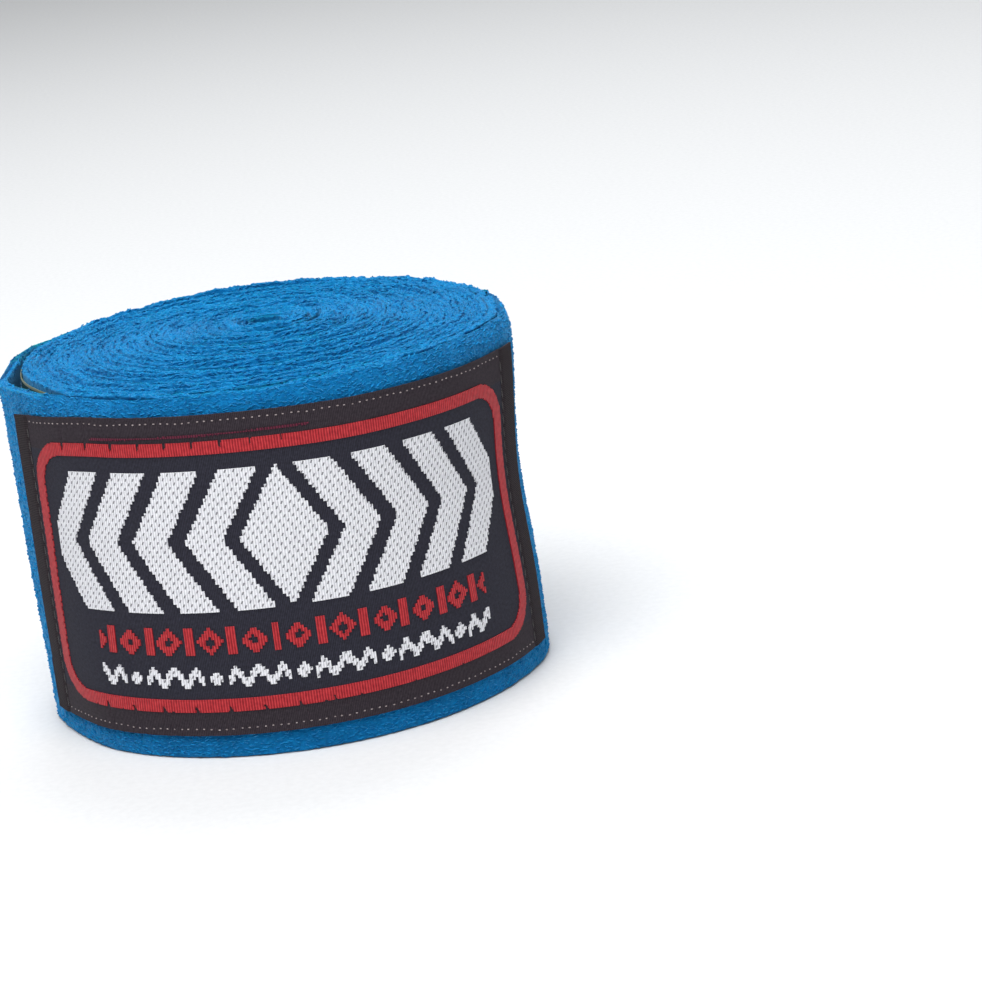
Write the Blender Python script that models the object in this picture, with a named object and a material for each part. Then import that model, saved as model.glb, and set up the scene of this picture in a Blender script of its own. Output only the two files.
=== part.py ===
"""Boxing hand wrap, wound into its storage roll and closed by a hook-and-loop flap.

The band is one long strip. It starts at a thumb loop in the core, winds outwards with the
angle, and ends in a flap that carries the hook tape inside and a woven label outside.
The flap peels open about a vertical axis at its root, and the pull tip lifts at its far end.
Because of those two hinges the band is three solids: wrap_band, flap_band and tip_band.

Units are metres. Angles are degrees about the winding axis, 0 at +X, 90 at +Y, and the label
faces -Y. A winding angle keeps counting past 360, one lap for each turn of the band.
"""

import math

import bmesh
import bpy
from mathutils import Vector

# --- Driving dimensions ---------------------------------------------------------------

BAND_WIDTH = 0.0508
BAND_THICKNESS = 0.00050
TURN_PITCH = 0.000755
LAPS = 36
WINDING_CENTRE = Vector((-0.00017, 0.00141))

CORE_HALF_LENGTH = 0.0023
CORE_HALF_WIDTH = 0.0015
DOME_RISE = 0.0020
DOME_RADIUS = 0.026

LOOP_PLY_THICKNESS = 0.00042
LOOP_STACK = 0.00144
LOOP_FIRST_ANGLE = 15
LOOP_LAST_ANGLE = 618
LOOP_WIDTH = 0.020
LOOP_SETTLE_ANGLE = 990

TAPE_THICKNESS = 0.00060
LOOP_TAPE_HEIGHT = 0.0488
LOOP_TAPE_START = 158
LOOP_TAPE_END = 347
HOOK_TAPE_HEIGHT = 0.0468
HOOK_TAPE_START = 202
HOOK_TAPE_END = 345

LABEL_PLY_THICKNESS = 0.00020
LABEL_START = 199
LABEL_END = 342
LABEL_LOW = 0.0034
LABEL_HIGH = 0.0474
LABEL_FOLD_ANGLE = 7

CORNER_ANGLE = 187
CORNER_RADIUS = 0.0359
LIFT_OFF_START = 149
LIFT_OFF_END = 156

TIP_ANGLE = 348
BAND_END_ANGLE = 372
HEM_END_ANGLE = 354

THREAD_RADIUS = 0.00009
SEAM_INSET = 0.0014
LABEL_SEAM_INSET = 0.0010
SEAM_CLEARANCE = 0.0005
HINGE_GAP = 0.0004

# Radial distances from the middle of the turn underneath, outwards through the closure
LOOP_TAPE_RISE = 0.00070
TAPE_SEAM_RISE = 0.00118
HOOK_TAPE_RISE = 0.00164
FLAP_RISE = 0.00234
LABEL_TAIL_RISE = 0.00282
LABEL_FACE_RISE = 0.00314
LABEL_SEAM_RISE = 0.00337
HEM_RISE = 0.00156
HEM_SEAM_RISE = 0.00269
TAPE_COVER_RISE = 0.00170

# Facet steps in degrees
TURN_STEP = 18
CLOSURE_STEP = 5
LIFT_STEP = 3
FOLD_STEPS = 4


# --- The winding ----------------------------------------------------------------------

def core_radius(angle):
    """The oval that the innermost edge of the band is folded around."""
    turn = math.radians(angle)
    across = CORE_HALF_WIDTH * math.cos(turn)
    along = CORE_HALF_LENGTH * math.sin(turn)
    return CORE_HALF_LENGTH * CORE_HALF_WIDTH / math.hypot(across, along)


def roll_radius(angle):
    """Middle of the band at a winding angle, with the thumb loop between the first turns."""
    loop_turns = min(angle, LOOP_SETTLE_ANGLE) / 360
    return core_radius(angle) + TURN_PITCH * angle / 360 + LOOP_STACK * loop_turns


def under_radius(angle):
    """Middle of the turn that the closure rests on, for an angle of the last lap."""
    return roll_radius(angle + 360 * (LAPS - 1))


def smooth_step(value, start, end):
    share = min(max((value - start) / (end - start), 0), 1)
    return share * share * (3 - 2 * share)


def lift_off_radius(angle):
    """The last lap before the flap: it rises over the loop tape, then runs straight."""
    tape = smooth_step(angle, LIFT_OFF_START, LIFT_OFF_END)
    on_roll = under_radius(angle) + TURN_PITCH + tape * (TAPE_COVER_RISE - TURN_PITCH)
    leave_radius = under_radius(LIFT_OFF_END) + TAPE_COVER_RISE
    leave_angle = CORNER_ANGLE - math.degrees(math.acos(leave_radius / CORNER_RADIUS))
    if angle <= leave_angle:
        return on_roll
    return leave_radius / math.cos(math.radians(angle - leave_angle))


def flap_radius(angle):
    """The flap's band: straight from the corner, then round the roll over both tapes."""
    on_tapes = under_radius(angle) + FLAP_RISE
    meet_radius = under_radius(CORNER_ANGLE) + FLAP_RISE
    meet_angle = CORNER_ANGLE + math.degrees(math.acos(meet_radius / CORNER_RADIUS))
    if angle >= meet_angle:
        return on_tapes
    return max(on_tapes, meet_radius / math.cos(math.radians(meet_angle - angle)))


def band_radius(angle):
    last_lap = angle - 360 * LAPS
    if last_lap < LIFT_OFF_START:
        return roll_radius(angle)
    return lift_off_radius(last_lap)


def dome_height(radius):
    """How far a turn at this radius stands above the outer turns."""
    return DOME_RISE * max(0, 1 - (radius / DOME_RADIUS) ** 2)


# --- Paths in plan --------------------------------------------------------------------

def plan_point(angle, radius):
    turn = math.radians(angle)
    return WINDING_CENTRE + radius * Vector((math.cos(turn), math.sin(turn)))


def angles_between(start, end, step):
    """The start, every multiple of the step inside, and the end."""
    first = math.floor(start / step) + 1
    last = math.ceil(end / step) - 1
    return [start] + [step * index for index in range(first, last + 1)] + [end]


def rise_path(start, end, rise):
    """A path over the roll's last full turn, at a fixed distance from its middle."""
    return [(a, under_radius(a) + rise) for a in angles_between(start, end, CLOSURE_STEP)]


def fold_path(angle, radius_from, radius_to, side):
    """A half-round fold that takes a ply from one radius to another."""
    middle = (radius_from + radius_to) / 2
    half = (radius_from - radius_to) / 2
    points = []
    for index in range(1, FOLD_STEPS):
        turn = math.pi * index / FOLD_STEPS
        along = side * abs(half) * math.sin(turn)
        points.append((angle + math.degrees(along / middle), middle + half * math.cos(turn)))
    return points


# --- Solids ---------------------------------------------------------------------------

def clear_scene():
    for item in list(bpy.data.objects):
        bpy.data.objects.remove(item, do_unlink=True)


def finish_of(name, colour, roughness):
    """A Principled BSDF finish for one sub-part."""
    material = bpy.data.materials.new(name)
    material.use_nodes = True
    shader = material.node_tree.nodes["Principled BSDF"]
    shader.inputs["Base Color"].default_value = (*colour, 1)
    shader.inputs["Roughness"].default_value = roughness
    shader.inputs["Metallic"].default_value = 0
    return material


def add_object(name, data, pivot, material):
    item = bpy.data.objects.new(name, data)
    bpy.context.collection.objects.link(item)
    item.parent = pivot
    item.data.materials.append(material)
    return item


def add_pivot(name, point, parent=None):
    """An empty on a vertical axis, which the pieces that turn about it are parented to."""
    pivot = bpy.data.objects.new(name, None)
    bpy.context.collection.objects.link(pivot)
    pivot.parent = parent
    start = parent.location.to_2d() if parent else Vector((0, 0))
    pivot.location = (point - start).to_3d()
    return pivot


def pivot_point(pivot):
    place = pivot.location.to_2d()
    return place + pivot.parent.location.to_2d() if pivot.parent else place


def add_strip(name, path, thickness, low, high, pivot, material, closed=False, domed=False):
    """A ply that stands on edge along a path of (angle, radius), as a thickened sheet."""
    origin = pivot_point(pivot)
    mesh = bpy.data.meshes.new(name)
    sheet = bmesh.new()
    edge = []
    for angle, radius in path:
        place = plan_point(angle, radius) - origin
        lift = dome_height(radius) if domed else 0
        edge.append(sheet.verts.new((place.x, place.y, low + lift)))
    for start, end in zip(edge, edge[1:]):
        sheet.edges.new((start, end))
    if closed:
        sheet.edges.new((edge[-1], edge[0]))
    raised = bmesh.ops.extrude_edge_only(sheet, edges=sheet.edges[:])["geom"]
    raised_verts = [item for item in raised if isinstance(item, bmesh.types.BMVert)]
    bmesh.ops.translate(sheet, verts=raised_verts, vec=(0, 0, high - low))
    bmesh.ops.recalc_face_normals(sheet, faces=sheet.faces[:])
    sheet.to_mesh(mesh)
    sheet.free()
    mesh.shade_smooth()
    mesh.set_sharp_from_angle(angle=math.radians(35))
    item = add_object(name, mesh, pivot, material)
    ply = item.modifiers.new("ply", "SOLIDIFY")
    ply.thickness = thickness
    ply.offset = 0
    ply.use_even_offset = True
    return item


def add_thread(name, points, pivot, material, closed=False):
    """A sewing thread along points of (angle, radius, height)."""
    origin = pivot_point(pivot)
    curve = bpy.data.curves.new(name, "CURVE")
    curve.dimensions = "3D"
    curve.bevel_depth = THREAD_RADIUS
    curve.bevel_resolution = 1
    curve.use_fill_caps = not closed
    line = curve.splines.new("POLY")
    line.points.add(len(points) - 1)
    for knot, (angle, radius, height) in zip(line.points, points):
        place = plan_point(angle, radius) - origin
        knot.co = (place.x, place.y, height, 1)
    line.use_cyclic_u = closed
    return add_object(name, curve, pivot, material)


def seam_row(start, end, rise, height):
    """Points of a seam that runs round the roll at one height."""
    return [(angle, radius, height) for angle, radius in rise_path(start, end, rise)]


def seam_column(angle, rise, low, high):
    """The two ends of a seam that runs straight up."""
    radius = under_radius(angle) + rise
    return [(angle, radius, low), (angle, radius, high)]


def seam_frame(start, end, low, high, rise):
    """Points of a seam that runs all the way round a sewn tape."""
    corner = SEAM_INSET / 2
    corner_angle = math.degrees(corner / (under_radius(start) + rise))
    bottom = seam_row(start + corner_angle, end - corner_angle, rise, low)
    top = seam_row(start + corner_angle, end - corner_angle, rise, high)
    right = seam_column(end, rise, low + corner, high - corner)
    left = seam_column(start, rise, low + corner, high - corner)
    return bottom + right + top[::-1] + left[::-1]


# --- The pieces on the roll -----------------------------------------------------------

def band_angles():
    last_lap = 360 * LAPS
    angles = angles_between(0, last_lap + LIFT_OFF_START - TURN_STEP / 2, TURN_STEP)
    lift = angles_between(LIFT_OFF_START, CORNER_ANGLE, LIFT_STEP)
    return angles + [last_lap + angle for angle in lift]


def trimmed(path, start_cut, end_cut):
    """The path with a short length taken off its first and last segments."""
    points = list(path)
    for index, neighbour, cut in ((0, 1, start_cut), (-1, -2, end_cut)):
        near = plan_point(*points[index])
        far = plan_point(*points[neighbour])
        share = cut / (far - near).length
        angle = points[index][0] + share * (points[neighbour][0] - points[index][0])
        radius = points[index][1] + share * (points[neighbour][1] - points[index][1])
        points[index] = (angle, radius)
    return points


def add_wrap_band(pivot, material):
    path = [(angle, band_radius(angle)) for angle in band_angles()]
    path = trimmed(path, 0, HINGE_GAP)
    add_strip("wrap_band", path, BAND_THICKNESS, 0, BAND_WIDTH, pivot, material, domed=True)


def add_thumb_loop(pivot, tape_material, thread_material):
    """A narrow tape sewn to the band's inner end, flattened and wound in with two turns."""
    spacing = TURN_PITCH + LOOP_STACK
    room = (spacing - BAND_THICKNESS - 2 * LOOP_PLY_THICKNESS) / 3
    inner_rise = (BAND_THICKNESS + LOOP_PLY_THICKNESS) / 2 + room
    outer_rise = spacing - inner_rise
    angles = angles_between(LOOP_FIRST_ANGLE, LOOP_LAST_ANGLE, TURN_STEP)
    inner = [(angle, roll_radius(angle) + inner_rise) for angle in angles]
    outer = [(angle, roll_radius(angle) + outer_rise) for angle in angles]
    far_fold = fold_path(LOOP_LAST_ANGLE, inner[-1][1], outer[-1][1], 1)
    near_fold = fold_path(LOOP_FIRST_ANGLE, outer[0][1], inner[0][1], -1)
    path = inner + far_fold + outer[::-1] + near_fold
    low = (BAND_WIDTH - LOOP_WIDTH) / 2 + DOME_RISE
    high = low + LOOP_WIDTH
    add_strip("thumb_loop", path, LOOP_PLY_THICKNESS, low, high, pivot, tape_material, True)

    tack_rise = BAND_THICKNESS / 2 + room / 2
    tack_angles = angles_between(LOOP_FIRST_ANGLE + 9, LOOP_FIRST_ANGLE + 93, TURN_STEP)
    tack_low = low + 2 * SEAM_INSET
    tack_high = high - 2 * SEAM_INSET
    radii = [roll_radius(angle) + tack_rise for angle in tack_angles]
    bottom = [(angle, radius, tack_low) for angle, radius in zip(tack_angles, radii)]
    top = [(angle, radius, tack_high) for angle, radius in zip(tack_angles, radii)]
    add_thread("thumb_loop_bar_tack", bottom + top[::-1], pivot, thread_material, True)


def add_sewn_tape(name, start, end, height, rise, pivot, material, thread_material):
    """A hook or loop tape that stands on the roll, with the seam that runs round it."""
    low = (BAND_WIDTH - height) / 2
    path = rise_path(start, end, rise)
    add_strip(name, path, TAPE_THICKNESS, low, low + height, pivot, material)
    inset_angle = math.degrees(SEAM_INSET / (under_radius(start) + rise))
    ends = (start + inset_angle, end - inset_angle)
    rows = (low + SEAM_INSET, low + height - SEAM_INSET)
    frame = seam_frame(*ends, *rows, TAPE_SEAM_RISE)
    add_thread(name + "_seam", frame, pivot, thread_material, True)


# --- The pieces on the flap -----------------------------------------------------------

def add_flap_band(pivot, material):
    angles = angles_between(CORNER_ANGLE, TIP_ANGLE, CLOSURE_STEP)
    path = trimmed([(angle, flap_radius(angle)) for angle in angles], HINGE_GAP, HINGE_GAP)
    add_strip("flap_band", path, BAND_THICKNESS, 0, BAND_WIDTH, pivot, material)


def add_label(pivot, material, row_material, end_material):
    """A woven label with both ends folded under, sewn round its edge."""
    tail_start = LABEL_START + LABEL_FOLD_ANGLE
    tail_end = LABEL_END - LABEL_FOLD_ANGLE
    left_tail = rise_path(LABEL_START, tail_start, LABEL_TAIL_RISE)[::-1]
    right_tail = rise_path(tail_end, LABEL_END, LABEL_TAIL_RISE)[::-1]
    face = rise_path(LABEL_START, LABEL_END, LABEL_FACE_RISE)
    left_fold = fold_path(LABEL_START, left_tail[-1][1], face[0][1], -1)
    right_fold = fold_path(LABEL_END, face[-1][1], right_tail[0][1], 1)
    path = left_tail + left_fold + face + right_fold + right_tail
    add_strip("woven_label", path, LABEL_PLY_THICKNESS, LABEL_LOW, LABEL_HIGH, pivot, material)

    low = LABEL_LOW + LABEL_SEAM_INSET
    high = LABEL_HIGH - LABEL_SEAM_INSET
    for name, height in (("label_bottom_seam", low), ("label_top_seam", high)):
        row = seam_row(LABEL_START + 1, LABEL_END - 1, LABEL_SEAM_RISE, height)
        add_thread(name, row, pivot, row_material)
    fold_seam = LABEL_FOLD_ANGLE - 1
    ends = (("label_left_seam", LABEL_START + fold_seam), ("label_right_seam", LABEL_END - fold_seam))
    for name, angle in ends:
        column = seam_column(angle, LABEL_SEAM_RISE, low + SEAM_CLEARANCE, high - SEAM_CLEARANCE)
        add_thread(name, column, pivot, end_material)


# --- The pieces on the pull tip -------------------------------------------------------

def add_pull_tip(pivot, material, thread_material):
    """The band's last stretch, past the label, with its end folded in and hemmed."""
    outer = rise_path(TIP_ANGLE, BAND_END_ANGLE, FLAP_RISE)
    inner = rise_path(HEM_END_ANGLE, BAND_END_ANGLE, HEM_RISE)[::-1]
    fold = fold_path(BAND_END_ANGLE, outer[-1][1], inner[0][1], 1)
    path = trimmed(outer + fold + inner, HINGE_GAP, 0)
    add_strip("tip_band", path, BAND_THICKNESS, 0, BAND_WIDTH, pivot, material)
    seam = seam_column(HEM_END_ANGLE + 3, HEM_SEAM_RISE, 2 * SEAM_INSET, BAND_WIDTH - 2 * SEAM_INSET)
    add_thread("tip_hem_seam", seam, pivot, thread_material)


def build():
    clear_scene()
    terry = finish_of("blue_terry", (0.030, 0.235, 0.565), 0.95)
    loop_tape = finish_of("blue_loop_tape", (0.055, 0.150, 0.170), 0.95)
    hook_tape = finish_of("black_hook_tape", (0.020, 0.021, 0.024), 0.55)
    label_cloth = finish_of("black_label", (0.038, 0.033, 0.052), 0.75)
    thumb_tape = finish_of("blue_thumb_tape", (0.020, 0.170, 0.430), 0.85)
    dark_thread = finish_of("black_thread", (0.022, 0.018, 0.020), 0.60)
    light_thread = finish_of("light_thread", (0.700, 0.650, 0.620), 0.60)
    blue_thread = finish_of("blue_thread", (0.030, 0.180, 0.450), 0.60)

    roll = add_pivot("roll_axis", Vector((0, 0)))
    corner = plan_point(CORNER_ANGLE, CORNER_RADIUS)
    tip = plan_point(TIP_ANGLE, flap_radius(TIP_ANGLE))
    flap = add_pivot("flap_hinge", corner, roll)
    pull_tip = add_pivot("tip_hinge", tip, flap)

    add_wrap_band(roll, terry)
    add_thumb_loop(roll, thumb_tape, blue_thread)
    loop_span = (LOOP_TAPE_START, LOOP_TAPE_END, LOOP_TAPE_HEIGHT, LOOP_TAPE_RISE)
    hook_span = (HOOK_TAPE_START, HOOK_TAPE_END, HOOK_TAPE_HEIGHT, HOOK_TAPE_RISE)
    add_sewn_tape("loop_tape", *loop_span, roll, loop_tape, blue_thread)
    add_sewn_tape("hook_tape", *hook_span, flap, hook_tape, dark_thread)
    add_flap_band(flap, terry)
    add_label(flap, label_cloth, light_thread, dark_thread)
    add_pull_tip(pull_tip, terry, blue_thread)


build()
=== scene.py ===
"""The looks of a hand wrap wound into its storage roll.

Every piece is computed in millimetres in the part's own frame and written in metres.
Angles are degrees about the winding axis, 0 at +X and 270 at the label, and they count
past 360 along the band. A rise is a distance outwards from the turn under the closure.
"""

import math
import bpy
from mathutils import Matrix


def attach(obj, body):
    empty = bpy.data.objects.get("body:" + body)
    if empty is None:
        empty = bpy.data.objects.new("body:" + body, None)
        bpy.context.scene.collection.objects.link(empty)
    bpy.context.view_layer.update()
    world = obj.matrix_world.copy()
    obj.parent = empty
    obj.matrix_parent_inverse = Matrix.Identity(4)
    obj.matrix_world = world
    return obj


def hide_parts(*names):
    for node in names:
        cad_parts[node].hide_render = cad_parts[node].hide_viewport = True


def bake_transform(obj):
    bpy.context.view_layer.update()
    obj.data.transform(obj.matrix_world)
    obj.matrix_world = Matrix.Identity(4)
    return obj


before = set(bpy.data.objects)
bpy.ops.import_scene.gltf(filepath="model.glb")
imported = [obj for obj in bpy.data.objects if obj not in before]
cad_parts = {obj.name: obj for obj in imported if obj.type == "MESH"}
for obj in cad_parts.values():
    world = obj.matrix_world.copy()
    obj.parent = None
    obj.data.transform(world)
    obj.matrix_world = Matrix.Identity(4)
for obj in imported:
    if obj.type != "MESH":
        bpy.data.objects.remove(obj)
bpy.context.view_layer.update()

from types import SimpleNamespace

import bpy
import numpy as np
from mathutils import Quaternion, Vector

MM = 0.001

# --- The winding, as the CAD has it (millimetres, degrees) ---

BAND_WIDTH = 50.8
TURN_PITCH = 0.755
LAPS = 36
WINDING_CENTRE = np.array((-0.17, 1.41))
CORE_HALF_LENGTH = 2.3
CORE_HALF_WIDTH = 1.5
DOME_RISE = 2.0
DOME_RADIUS = 26.0
LOOP_STACK = 1.44
LOOP_SETTLE_ANGLE = 990
LOOP_ANGLES = (15, 618)
THUMB_TAPE_WIDTH = 20.0

CORNER_ANGLE = 187
CORNER_RADIUS = 35.9
LIFT_OFF = (149, 156)
TAPE_COVER_RISE = 1.70
FLAP_RISE = 2.34
HEM_RISE = 1.56
LABEL_RISE = 3.04
TIP_ANGLE = 348
BAND_END_ANGLE = 372
HEM_END_ANGLE = 354

# --- How the soft pieces are made ---

PLY_HALF = 0.36
TURN_HALF = 0.385
WOUND_STEP = 0.30
PLY_STEP = 0.45
PLY_ROWS = 84
ROOT_PLY_START = 150
LAST_ANGLE = 360 * (LAPS - 1) + ROOT_PLY_START
CORE_SPLIT_ANGLE = 360 * 24
PLY_SPLIT_ANGLE = 262


# --- Deterministic noise ---

def noise(size, seed, *axes):
    """Smooth noise from -1 to 1 along one to three coordinates, with cells of size."""
    grid = 64
    values = np.random.RandomState(seed).uniform(-1, 1, (grid, grid, grid))
    points = column(*axes)
    points = points / np.broadcast_to(size, points.shape[1:])
    scaled = np.pad(points, ((0, 0), (0, 3 - points.shape[1])))
    cell = np.floor(scaled).astype(int)
    part = scaled - cell
    part = part * part * (3 - 2 * part)
    total = np.zeros(len(points))
    for corner in range(8):
        step = np.array((corner & 1, corner >> 1 & 1, corner >> 2 & 1))
        share = np.prod(np.where(step, part, 1 - part), axis=1)
        x, y, z = ((cell + step) % grid).T
        total += share * values[x, y, z]
    return total


def column(*arrays):
    return np.stack(np.broadcast_arrays(*arrays), axis=-1).reshape(-1, len(arrays)).astype(float)


def smooth(value, start, end):
    share = np.clip((value - start) / (end - start), 0, 1)
    return share * share * (3 - 2 * share)


def between(value, rise_from, rise_to, fall_from, fall_to):
    return smooth(value, rise_from, rise_to) * (1 - smooth(value, fall_from, fall_to))


def bell(value, middle, width):
    return np.exp(-(((value - middle) / width) ** 2))


# --- The winding ---

def core_radius(angle):
    turn = np.radians(angle)
    across = CORE_HALF_WIDTH * np.cos(turn)
    along = CORE_HALF_LENGTH * np.sin(turn)
    return CORE_HALF_LENGTH * CORE_HALF_WIDTH / np.hypot(across, along)


def roll_radius(angle):
    loop_turns = np.minimum(angle, LOOP_SETTLE_ANGLE) / 360
    return core_radius(angle) + TURN_PITCH * angle / 360 + LOOP_STACK * loop_turns


def under_radius(angle):
    return roll_radius(angle + 360 * (LAPS - 1))


def lift_off_radius(angle):
    tape = smooth(angle, *LIFT_OFF)
    on_roll = under_radius(angle) + TURN_PITCH + tape * (TAPE_COVER_RISE - TURN_PITCH)
    leave_radius = under_radius(LIFT_OFF[1]) + TAPE_COVER_RISE
    leave_angle = CORNER_ANGLE - math.degrees(math.acos(leave_radius / CORNER_RADIUS))
    straight = leave_radius / np.cos(np.radians(angle - leave_angle))
    return np.where(angle <= leave_angle, on_roll, straight)


def flap_radius(angle):
    on_tapes = under_radius(angle) + FLAP_RISE
    meet_radius = under_radius(CORNER_ANGLE) + FLAP_RISE
    meet_angle = CORNER_ANGLE + math.degrees(math.acos(meet_radius / CORNER_RADIUS))
    gap = np.radians(np.clip(meet_angle - angle, 0, 60))
    return np.where(angle >= meet_angle, on_tapes, np.maximum(on_tapes, meet_radius / np.cos(gap)))


def last_lap_radius(angle):
    return np.where(angle < CORNER_ANGLE, lift_off_radius(angle), flap_radius(angle))


def dome_height(radius):
    return DOME_RISE * np.clip(1 - (radius / DOME_RADIUS) ** 2, 0, None)


def plan(angle, radius):
    turn = np.radians(angle)
    return WINDING_CENTRE + np.stack((radius * np.cos(turn), radius * np.sin(turn)), axis=-1)


class Path:
    """A line in plan, resampled at even steps, with its normals to the right of its run.

    facing is 1 where the normal points away from the axis and -1 where it points at it.
    """

    def __init__(self, points, step, start=0):
        points = np.asarray(points, float)
        lengths = np.hypot(*np.diff(points, axis=0).T)
        run = np.concatenate(([0], np.cumsum(lengths)))
        count = max(2, int(round(run[-1] / step)) + 1)
        self.length = np.linspace(0, run[-1], count)
        self.place = np.stack([np.interp(self.length, run, points[:, k]) for k in (0, 1)], axis=1)
        forward = np.gradient(self.place, axis=0)
        forward /= np.linalg.norm(forward, axis=1)[:, None]
        self.normal = np.stack((forward[:, 1], -forward[:, 0]), axis=1)
        away = self.place - WINDING_CENTRE
        self.radius = np.hypot(*away.T)
        self.facing = (self.normal * away).sum(axis=1) / self.radius
        angle = np.degrees(np.unwrap(np.arctan2(away[:, 1], away[:, 0])))
        self.angle = angle + 360 * round((start - angle[0]) / 360)

    def at(self, run):
        """The places and the normals at lengths along the line."""
        return (np.stack([np.interp(run, self.length, line[:, k]) for k in (0, 1)], axis=-1)
                for line in (self.place, self.normal))


def arc_points(start, end, radius_at, step=0.25):
    angle = np.arange(start, end, step)
    angle = np.append(angle, end)
    return plan(angle, radius_at(angle))


def fold_points(angle, radius_from, radius_to, side=1):
    """A half-round fold at the end of a ply."""
    middle, half = (radius_from + radius_to) / 2, (radius_from - radius_to) / 2
    turn = np.linspace(0, math.pi, 13)[1:-1]
    along = np.degrees(side * abs(half) * np.sin(turn) / middle)
    return plan(angle + along, middle + half * np.cos(turn))


# --- Meshes ---

def in_scene(name, data):
    thing = bpy.data.objects.new(name, data)
    bpy.context.collection.objects.link(thing)
    return thing


def new_piece(name, points, faces, material, smooth_angle=60):
    mesh = bpy.data.meshes.new(name)
    mesh.from_pydata((np.asarray(points) * MM).tolist(), [], faces)
    mesh.update()
    mesh.shade_smooth()
    mesh.set_sharp_from_angle(angle=math.radians(smooth_angle))
    mesh.materials.append(material)
    piece = in_scene(name, mesh)
    store(piece, "rest", points)
    return piece


def store(piece, name, values):
    """Keeps a vector or number for each point, so that a weave stays on cloth that bends."""
    values = np.asarray(values, np.float32)
    kind, field = (("FLOAT", "value"), ("FLOAT_VECTOR", "vector"))[values.ndim - 1]
    layer = piece.data.attributes.new(name, kind, "POINT")
    layer.data.foreach_set(field, values.ravel())


def belongs(piece, body, slot, *nodes):
    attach(piece, body)
    if nodes:
        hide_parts(*nodes)


def ring_faces(rings, ring_size, closed):
    """Quads between rings of points, with a fan on each end where the row of rings is open."""
    first = np.arange(rings if closed else rings - 1)[:, None] * ring_size
    here = np.arange(ring_size)[None, :]
    after = (here + 1) % ring_size
    total = rings * ring_size
    quads = np.stack((
        first + here, (first + ring_size + here) % total,
        (first + ring_size + after) % total, first + after,
    ), axis=-1).reshape(-1, 4).tolist()
    if closed:
        return quads
    last = (rings - 1) * ring_size
    for k in range(ring_size):
        quads.append((total, k, (k + 1) % ring_size))
        quads.append((total + 1, last + (k + 1) % ring_size, last + k))
    return quads


def ply_profile(low, high, half, outer_rows, inner_rows, edge_points, roundness=0.95):
    """The cross-section of a ply as (outwards, up, is_top, is_bottom), counter-clockwise."""
    rise = half * roundness
    outer = [(half, z, 0, 0) for z in np.linspace(low + rise, high - rise, outer_rows)]
    inner = [(-half, z, 0, 0) for z in np.linspace(high - rise, low + rise, inner_rows)]
    turn = np.linspace(0, math.pi, edge_points + 2)[1:-1]
    top = [(half * math.cos(t), high - rise + rise * math.sin(t), math.sin(t), 0) for t in turn]
    bottom = [(-half * math.cos(t), low + rise - rise * math.sin(t), 0, math.sin(t)) for t in turn]
    return np.array(outer + top + inner + bottom)


def add_ply(name, path, profile, material, shape=None, closed=False, place=None):
    """A ply on edge along a path. shape moves each point outwards and up."""
    rings, size = len(path.length), len(profile)
    out, up, top, bottom = (np.broadcast_to(profile[:, k], (rings, size)).ravel() for k in range(4))
    ring = np.repeat(np.arange(rings), size)
    at = SimpleNamespace(
        length=path.length[ring], radius=path.radius[ring], angle=path.angle[ring],
        facing=path.facing[ring], out=out, up=up, top=top, bottom=bottom)
    move_out, move_up = shape(at) if shape else (0, 0)
    flat = path.place[ring] + path.normal[ring] * (out + move_out)[:, None]
    points = np.column_stack((flat, up + move_up))
    if place:
        points = place(points, at)
    cloth = np.column_stack((at.length, up, out))
    if not closed:
        points, cloth = (np.vstack((rows, rows[:size].mean(axis=0), rows[-size:].mean(axis=0)))
                         for rows in (points, cloth))
    piece = new_piece(name, points, ring_faces(rings, size, closed), material)
    store(piece, "cloth", cloth)
    return piece


LOOP_SPAN = 0.60
LOOP_HEIGHT = 0.13
LOOP_THREAD = 0.115
LOOP_SINK = 0.08
LOOP_SPIN = 0.34
LOOP_TILT = 0.26
LOOP_GROWTH = (0.65, 1.3)
LOOP_POINTS = 12
LOOPS_PER_PIECE = 10000


def mesh_quads(mesh):
    """The four corners of every quad, in millimetres."""
    quads = [tuple(face.vertices) for face in mesh.polygons if len(face.vertices) == 4]
    return np.array([point.co for point in mesh.vertices])[np.array(quads)] / MM


def unit(vectors):
    return vectors / np.linalg.norm(vectors, axis=-1, keepdims=True)


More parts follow.
